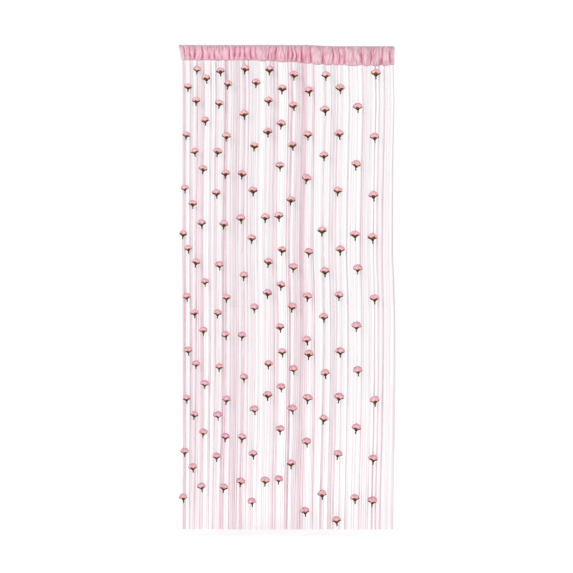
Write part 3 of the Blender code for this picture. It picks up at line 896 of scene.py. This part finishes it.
def sleeve_point(place, turn):
    """A point of the sleeve's cloth, and the painted shade of creases and small folds there, from 0 to 1.

    Turn runs from -1 at the front's foot, over the top at 0, to 1 at the back's foot.
    """
    fall = fall_at(turn)
    side = math.copysign(1.0, turn) if turn else 0.0
    top, foot = top_level(place), foot_level(place)
    near_seam = past(fall, 0.5)
    wobble = cloud(place / WOBBLE_LENGTH, 12.0, 2.4 * fall * side)
    wobbled = place + CREASE_WOBBLE * wobble * (1 - near_seam**2)
    drawn = gather_depth(wobbled)
    swell = PILLOW_SWELL * (1 - min(1.0, drawn / DEEPEST_CREASE))
    depth = sleeve_half_depth(fall)
    folds = small_folds(place + FOLD_SLANT * wobble, foot * fall * side)
    open_share = min(1.0, LEAST_FOLDS_OPEN + depth / SLEEVE_HALF_DEPTH)
    sink = drawn * mixed(CREASE_TOP_SHARE, CREASE_FOOT_SHARE, fall) + folds * open_share
    depth += (swell - sink) * (1 - near_seam**3) * min(1.0, depth / SLEEVE_HALF_DEPTH * RELIEF_GAIN)
    y = side * max(depth, HEM_HALF_THICKNESS) + seam_y(place) * near_seam
    wave = TOP_WAVE * (0.5 + 0.5 * cloud(place / TOP_WAVE_LENGTH, 31.0, 0.0))
    dip = drawn * TOP_DIP_SHARE + folds * FOLD_DIP_SHARE + wave
    z = mixed(top, foot, fall) - dip * (1 - fall) ** 2
    # Painted shade in the creases and small folds, eased off near the foot
    shade_in_folds = min(1.0, crease_shade(wobbled, fall) + SMALL_FOLD_SHADE * folds / DEEPEST_FOLDS)
    shade_in_folds *= mixed(1.0, FOOT_SHADE_LEFT, soft_step(past(fall, FOOT_SHADE_FROM)))
    return Vector((along(place) + crease_lean(place) * fall, y, z)), shade_in_folds


def make_heading(finish):
    """The gathered cloth, in one strip from the front's foot over the top to the back's."""
    rows = 2 * HEADING_ROWS_A_SIDE + 1
    points, values = [], {"fold": [], "edge": [], "bunched": []}
    for place in COLUMN_PLACES:
        for r in range(rows):
            turn = 2 * r / (rows - 1) - 1
            fall = fall_at(turn)
            point, shade_in_folds = sleeve_point(place, turn)
            points.append(point)
            # Painted shade of creases and small folds at this point
            values["fold"].append(shade_in_folds)
            # Painted shade along the top edge, fading downwards and patchy along it
            patchy = 1 + EDGE_PATCHES * cloud(place / EDGE_PATCH, 5.0 * fall, 17.0)
            near_edge = max(0.0, 1 - fall / EDGE_FALL) ** EDGE_SOFTNESS
            values["edge"].append(EDGE_SHADE * near_edge * patchy)
            values["bunched"].append(bunched(place))
    piece = add_piece("heading_cloth", points, grid_faces(HEADING_COLUMNS, rows), values)
    lay_uv(piece, rows)
    thicken(piece, CLOTH_THICKNESS, 1.0)
    piece.data.materials.append(finish)
    hand_over(piece, "heading_cloth", "heading")


def lay_uv(piece, rows):
    """A UV map in metres: along the heading, and round its sleeve."""
    layer = piece.data.uv_layers.new(name="cloth")
    wide = HEADING_CLOTH_FLAT[0] / (HEADING_COLUMNS - 1)
    tall = HEADING_CLOTH_FLAT[1] / (rows - 1)
    for loop in piece.data.loops:
        column, row = divmod(loop.vertex_index, rows)
        layer.data[loop.index].uv = (column * wide, row * tall)


def make_tape(finish):
    """The narrow tape inside the heading's foot that holds every string."""
    half, points = TAPE_THICKNESS / 2, []
    for place in COLUMN_PLACES:
        x, y, low = along(place) + crease_lean(place), seam_y(place), tape_level(place)
        top = low + TAPE_HEIGHT
        points += [Vector((x, y + dy, z)) for dy, z in ((-half, top), (-half, low), (half, low), (half, top))]
    values = {key: [value] * len(points) for key, value in TAPE_LOOKS.items()}
    piece = add_piece("heading_tape", points, tube_faces(HEADING_COLUMNS, 4), values)
    face_outwards(piece.data)
    piece.data.uv_layers.new(name="cloth")
    piece.data.materials.append(finish)
    hand_over(piece, "heading_cloth")


def make_stitches(tree, finish):
    """A row of stitches on the front of the heading, just above its foot."""
    path = []
    for c in range(HEADING_COLUMNS):
        place = mixed(STITCH_MARGIN, CURTAIN_WIDTH - STITCH_MARGIN, c / (HEADING_COLUMNS - 1))
        share = 1 - STITCH_ABOVE_HEM / -foot_level(place)
        turn = -math.acos(1 - share) / (math.pi / 2)
        path.append(sleeve_point(place, turn)[0] + Vector((0, -CLOTH_THICKNESS - STITCH_RADIUS / 2, 0)))
    piece = add_paths("heading_stitches", [path], {})
    values = {"Pitch": STITCH_PITCH, "Length": STITCH_LENGTH, "Radius": STITCH_RADIUS, "Thread": finish}
    run_tree(piece, tree, values)
    hand_over(piece, "heading_cloth")


# Strings


def drift(place, drop):
    """How far a plain string lies aside of its straight line at a drop. Strings far left drift least."""
    before, after, share, _ = between(DRIFTS, drop / MM)
    aside = mixed(before, after, soft_step(share)) * MM
    return aside * mixed(LEAST_DRIFT_SHARE, 1.0, min(1.0, 2 * share_across(place)))


def string_path(start, knee, end, place):
    """Points of one plain string: off the tape, over its knee in a soft curve, and down to the hem."""
    path = []
    for k in range(KNEE_STEPS):
        share = k / KNEE_STEPS
        y = mixed(start.y, knee.y, soft_step(share))
        path.append(Vector((start.x, y, mixed(start.z, knee.z, share))))
    path += [knee.lerp(end, k / (YARN_STEPS - 1)) for k in range(YARN_STEPS)]
    for point in path:
        free = soft_step((start.z - point.z) / (FREE_KNEES * STRING_KNEE_DROP))
        point.x += drift(place, -point.z) * free
    return path


def yarn_places(chance):
    """Each loose yarn's place at its top and at the hem, and its tint."""
    places = []
    for at, hem_at, strings, top_width, hem_width in BUNCHES:
        bunch_tint = min(1.0, strings / FULL_TINT_STRINGS)
        for _ in range(strings * YARNS_A_STRING):
            if chance.random() < STRAYS:
                share = clamped(chance.gauss(0, STRAY_SPREAD), -WIDEST_STRAY, WIDEST_STRAY)
                tint = chance.uniform(0, STRAY_TINT)
            else:
                share = chance.uniform(-BUNCH_FILL, BUNCH_FILL)
                tint = bunch_tint + chance.uniform(*TINT_SPREAD)
            hem_share = share * HEM_SPREAD + chance.uniform(-HEM_SHIFT, HEM_SHIFT)
            top, hem = at + top_width * share, hem_at + hem_width * hem_share
            places.append((top * MM, hem * MM, tint))
    for k in range(LONE_YARNS):
        place = CURTAIN_WIDTH * (k + chance.random()) / LONE_YARNS
        places.append((place, place - chance.uniform(0, 2 * LONE_LEAN), LONE_TINT))
    return places


def make_plain_strings(tree, finish):
    """Every plain string, as a few loose yarns each."""
    chance = random.Random(YARN_SEED)
    paths, slack, tints = [], [], []
    for top, hem, tint in yarn_places(chance):
        top, hem = (clamped(p, END_LEAN + ROOT_MARGIN, CURTAIN_WIDTH - ROOT_MARGIN) for p in (top, hem))
        source = above(top)
        depth = chance.uniform(STRING_DEPTH_FRONT, STRING_DEPTH_BACK)
        start = Vector((along(top), seam_y(source), tape_level(source) + TAPE_INSIDE))
        knee = Vector((along(top), depth, start.z - STRING_KNEE_DROP))
        end = Vector((along(hem), depth, -CURTAIN_DROP + chance.uniform(0, LOWEST_HEM_RAGGEDNESS)))
        paths.append(string_path(start, knee, end, top))
        slack += [0.0] * KNEE_STEPS + [min(1.0, k / SLACK_STEPS) for k in range(YARN_STEPS)]
        tints += [tint - DEEPER_AT_HEM * point.z / CURTAIN_DROP for point in paths[-1]]
    piece = add_paths("plain_strings_yarn", paths, {"slack": slack, "tint": tints})
    values = {"Radius": YARN_RADIUS, "Sides": YARN_SIDES, "Seed": float(YARN_SEED), "Yarn": finish}
    values["Wave size"], values["Wave length"] = STRING_WAVE, STRING_WAVE_LENGTH
    values["Tremble size"] = STRING_TREMBLE
    run_tree(piece, tree, values)
    hand_over(piece, "string_yarn", "plain_strings")


def bud_drops(drops):
    """Drops of one string's buds below the top edge, over the whole curtain."""
    return sorted(
        (drop + shift) * MM
        for shift, from_drop, to_drop in ARRANGEMENT_REPEATS
        for drop in drops
        if from_drop <= drop < to_drop
    )


def sway(place, drop):
    """How far a bud string swings sideways at a drop. It swings the same way in each repeat."""
    shift = max(moved * MM for moved, start, _ in ARRANGEMENT_REPEATS if (moved + start) * MM <= drop)
    slope = mixed(SWAY_LEFT, SWAY_RIGHT, share_across(place))
    return slope * (drop - shift - SWAY_CENTRE_DROP)


def bud_scale(at):
    return mixed(BUD_SCALE_LEFT, BUD_SCALE_RIGHT, share_across(at * MM))


def bud_middles(at, drops):
    """Middle of each bud on one string, from the top down."""
    place, rise = at * MM, BUD_ABOVE_CALYX * bud_scale(at)
    return [
        Vector((along(place) + sway(place, drop), BUD_PLANE_Y, rise - drop)) for drop in bud_drops(drops)
    ]


def knot_front(source):
    """Y of a bud string where it is sewn to the front of the heading's foot."""
    return seam_y(source) - HEM_HALF_THICKNESS - CLOTH_THICKNESS - GAP - BUD_CORD_RADIUS


def make_still_yarns(name, paths, tint, radius, tree, finish):
    """Yarns that lie still along their paths, all of one tint."""
    count = sum(len(path) for path in paths)
    piece = add_paths(name, paths, {"slack": [0.0] * count, "tint": [tint] * count})
    run_tree(piece, tree, {**STILL_YARN, "Radius": radius, "Yarn": finish})
    hand_over(piece, "string_yarn")


def make_bud_cords(tree, finish):
    """The string inside each row of rosebuds, and the small coil of yarn that holds it to the tape."""
    cords, knots = [], []
    for row in BUD_STRINGS:
        middles = bud_middles(*row)
        x = middles[0].x
        source = above(x + CURTAIN_WIDTH / 2)
        front, tape = knot_front(source), tape_level(source)
        sewn = [Vector((x, front, tape + TAPE_HEIGHT)), Vector((x, front, foot_level(source)))]
        cords.append(sewn + middles + [Vector((middles[-1].x, BUD_PLANE_Y, -CURTAIN_DROP))])
        knots.append([])
        for k in range(KNOT_STEPS):
            angle = math.radians(KNOT_STEP * k)
            side, rise = KNOT_RADIUS * math.cos(angle), KNOT_RADIUS * KNOT_TALLER * math.sin(angle)
            y = front - BUD_CORD_RADIUS - KNOT_RISE * k
            knots[-1].append(Vector((x + side, y, tape + TAPE_HEIGHT / 2 + rise)))
    make_still_yarns("bud_cords", cords, BUD_CORD_TINT, BUD_CORD_RADIUS, tree, finish)
    make_still_yarns("bud_knots", knots, KNOT_TINT, BUD_CORD_RADIUS * KNOT_YARN_SHARE, tree, finish)


# Rosebuds


def dome(reach, height, angle):
    """Radius and height of a bud's outline at an angle above its widest ring, in degrees.

    Below that ring the cup is flatter.
    """
    turn = math.radians(angle)
    tall = height if angle > 0 else BUD_WIDEST - BUD_FOOT
    power = CROWN_FULLNESS if angle > 0 else CUP_TAPER
    return reach * math.cos(turn) ** power, BUD_WIDEST + tall * math.sin(turn)


def flattened(points):
    """Cloth buds are a little flat from front to back."""
    return [Vector((p.x, p.y * BUD_DEPTH_SHARE, p.z)) * BUD_RADIUS for p in points]


def bud_share(z):
    """How high a point lies in its bud, from 0 at the petals' foot to 1 at the crown."""
    return clamped((z - BUD_FOOT) / (BUD_CROWN - BUD_FOOT))


def grid_shares(across, up):
    """Every point of a grid: how far across it lies, from -1 to 1, and how far up, from 0 to 1."""
    return [(2 * c / (across - 1) - 1, r / (up - 1)) for c in range(across) for r in range(up)]


def petal(shape, middle_angle, grid, chance):
    """One petal: its points, and how near each is to the rim. Its lip is rounded, and curls out."""
    reach, height, lip_angle, lip_curl, span = shape
    height *= chance.uniform(*PETAL_HEIGHT_SPREAD)
    reach *= chance.uniform(*PETAL_REACH_SPREAD)
    points, rims = [], []
    for side, rise in grid_shares(*grid):
        wave = LIP_WAVE * math.sin(4 * side + middle_angle * 3)
        lip = lip_angle - LIP_ROUNDING * abs(side) ** LIP_SHARPNESS + wave
        radius, z = dome(reach, height, mixed(PETAL_FOOT_ANGLE, lip, rise))
        curl = past(rise, CURL_FROM)
        radius = radius * (1 + PETAL_WRAP * side) + lip_curl * curl**CURL_SHARPNESS
        open_share = math.sin(mixed(PETAL_FOOT_PHASE, 0.5, rise) * math.pi)
        angle = middle_angle + math.radians(span) * side * open_share
        points.append(round_point(radius, angle, z - CURL_DIP * curl**3))
        rims.append(past(rise, RIM_FROM))
    return points, rims


def core_points():
    """The rolled middle of a bud, as one strip wound from the centre outwards."""
    points, rims = [], []
    for c in range(CORE["steps"] + 1):
        share = c / CORE["steps"]
        angle = math.tau * CORE["turns"] * share
        radius = mixed(CORE["from"], CORE["to"], share)
        top = CORE["top"] - CORE["sink"] * share
        for lift, width in CORE_ROWS:
            points.append(round_point(radius * width, angle, mixed(CORE["foot"], top, lift)))
            rims.append(mixed(CORE_FOOT_RIM, 1.0, lift))
    return points, rims


def petal_kind(number, piece_name):
    """All outer, or all inner, petals of one kind of bud. The inner ones have the rolled middle with them."""
    chance = random.Random(PETAL_SEED + number)
    parts = []
    for layer, petals, *shape in PETAL_LAYERS:
        first_angle = chance.uniform(0, math.tau)
        for k in range(petals):
            place = k + chance.uniform(-PETAL_PLACE_SPREAD, PETAL_PLACE_SPREAD)
            made = petal(shape, first_angle + math.tau * place / petals, PETAL_GRIDS[layer], chance)
            if layer == piece_name:
                parts.append((PETAL_GRIDS[layer], *made))
    if piece_name == "inner":
        parts.append(((CORE["steps"] + 1, len(CORE_ROWS)), *core_points()))
    points, faces, rims = [], [], []
    for grid, made, near_rim in parts:
        faces += grid_faces(*grid, first=len(points))
        points += made
        rims += [RIM_SHADE[piece_name] * r**2 for r in near_rim]
    return flattened(points), faces, {"rise": [bud_share(p.z) for p in points], "rim": rims}


def sepal_kind(number):
    """Five sepals round the foot of a bud."""
    chance = random.Random(SEPAL_SEED + number)
    points, faces, rises = [], [], []
    first_angle = chance.uniform(0, math.tau)
    for k in range(SEPALS):
        middle_angle = first_angle + math.tau * k / SEPALS
        tip = SEPAL_TIP_ANGLE + chance.uniform(*SEPAL_TIP_SPREAD)
        faces += grid_faces(*SEPAL_GRID, first=len(points))
        for side, rise in grid_shares(*SEPAL_GRID):
            half = math.radians(SEPAL_SPAN) * (1 - SEPAL_TAPER * rise**SEPAL_POINT)
            radius, z = dome(SEPAL_REACH, SEPAL_HEIGHT, mixed(SEPAL_FOOT_ANGLE, tip, rise))
            radius = radius + SEPAL_CLEARANCE + SEPAL_FLARE * rise**3
            z -= SEPAL_FOOT_DROP * (1 - rise)
            points.append(round_point(radius, middle_angle + half * side, z))
            rises.append(mixed(SEPAL_FOOT_SHADE, 1.0, rise))
    return flattened(points), faces, {"rise": rises}


def stem_points():
    """The stem, and the swelling under the sepals, as rings of points from the top down."""
    points, rises = [], []
    for z, radius in STEM_RINGS:
        points += [round_point(radius, math.tau * k / STEM_SIDES, z) for k in range(STEM_SIDES)]
        rises += [SWELLING_SHADE if z > SWELLING_FOOT else 0.0] * STEM_SIDES
    return flattened(points), tube_faces(len(STEM_RINGS), STEM_SIDES), {"rise": rises}


def bud_kinds(name, builder):
    """A collection with each kind of bud's mesh in it, outside the scene."""
    kinds = bpy.data.collections.new(name)
    for number in range(BUD_VARIANTS):
        piece = add_piece(f"{name}_{number}", *builder(number))
        face_outwards(piece.data)
        thicken(piece, PETAL_THICKNESS * BUD_RADIUS, 0.0)
        if name == "sepals":
            add_stem(piece)
        bpy.context.scene.collection.objects.unlink(piece)
        kinds.objects.link(piece)
    return kinds


def add_stem(piece):
    """Joins the stem to a kind of bud's sepals."""
    stem = add_piece("stem", *stem_points())
    face_outwards(stem.data)
    shape = bmesh.new()
    shape.from_mesh(piece.data)
    shape.from_mesh(stem.data)
    shape.to_mesh(piece.data)
    shape.free()
    bpy.data.objects.remove(stem)


def bud_points():
    """A point for each rosebud, with its kind, size, lean, turn and tint."""
    chance = random.Random(BUD_SEED)
    points = []
    values = {key: [] for key in ("kind", "size", "lean_x", "lean_y", "turn", "tint")}
    for at, drops in BUD_STRINGS:
        for middle in bud_middles(at, drops):
            points.append(middle)
            values["kind"].append(float(chance.randrange(BUD_VARIANTS)))
            values["size"].append(bud_scale(at) * chance.uniform(*BUD_SIZE_SPREAD))
            for key, most in (("lean_x", BUD_LEAN), ("lean_y", BUD_LEAN), ("turn", BUD_TURN)):
                values[key].append(math.radians(chance.uniform(-most, most)))
            peach = mixed(PEACH_AT_TOP, PEACH_AT_HEM, -middle.z / CURTAIN_DROP)
            values["tint"].append(peach + chance.uniform(-PEACH_SPREAD, PEACH_SPREAD))
    return points, values


def make_rosebuds(tree, petals, sepals):
    """The petals, sepals and stems of every rosebud."""
    points, values = bud_points()
    nodes = [f"bud_string_{number:02d}" for number in range(1, len(BUD_STRINGS) + 1)]
    for name, builder, cloth, stands_for in (
        ("outer_petals", lambda n: petal_kind(n, "outer"), petals, nodes),
        ("inner_petals", lambda n: petal_kind(n, "inner"), petals, []),
        ("sepals", sepal_kind, sepals, []),
    ):
        kinds = bud_kinds(name, builder)
        piece = add_piece(f"rosebud_{name}", points, [], values)
        run_tree(piece, tree, {"Kinds": kinds, "Cloth": cloth})
        hand_over(piece, "rosebud" if cloth == petals else None, *stands_for)
        for kind in list(kinds.objects):
            bpy.data.objects.remove(kind)
        bpy.data.collections.remove(kinds)


# Stage


def add_floor():
    feeds = {"Base Color": FLOOR_WHITE, "Emission Color": FLOOR_WHITE, "Emission Strength": FLOOR_GLOW}
    side, low = FLOOR_SIDE, -CURTAIN_DROP - FLOOR_GAP
    corners = [(-side, -side, low), (side, -side, low), (side, side, low), (-side, side, low)]
    floor = add_piece("floor", corners, [(0, 1, 2, 3)])
    floor.data.materials.append(new_finish("white floor", **feeds)[0])


def light_scene():
    world = bpy.data.worlds.new("white studio")
    world.use_nodes = True
    feed(world.node_tree, world.node_tree.nodes["Background"], {"Color": WORLD_WHITE, "Strength": 1.0})
    bpy.context.scene.world = world
    bpy.context.scene.view_settings.view_transform = "Standard"
    lamp = bpy.data.lights.new("key", "AREA")
    lamp.shape = "DISK"
    lamp.size = KEY_SIZE
    lamp.energy = KEY_POWER
    turn = (Vector(KEY_AIM) - Vector(KEY_PLACE)).to_track_quat("-Z", "Y").to_euler()
    add_object("key", lamp, KEY_PLACE, turn)


def add_camera():
    lens = bpy.data.cameras.new("camera")
    lens.lens = LENS
    lens.sensor_width = SENSOR
    lens.clip_end = FARTHEST_SEEN
    distance = FRAME_WIDTH * LENS / SENSOR
    place = Vector(FRAME_CENTRE) + Vector((0, -distance, 0))
    bpy.context.scene.camera = add_object("camera", lens, place, (math.pi / 2, 0, 0))


def main():
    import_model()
    add_camera()
    light_scene()
    add_floor()
    weave, mottle = weave_group(), mottle_group()
    cloth = heading_finish(weave, mottle)
    yarn = yarn_finish()
    strings = yarn_tree()
    make_tape(cloth)
    make_heading(cloth)
    make_stitches(stitch_tree(), new_finish("stitching thread", **{"Base Color": STITCH_PINK})[0])
    make_plain_strings(strings, yarn)
    make_bud_cords(strings, yarn)
    make_rosebuds(bud_tree(), petal_finish(weave, mottle), sepal_finish(mottle))


main()
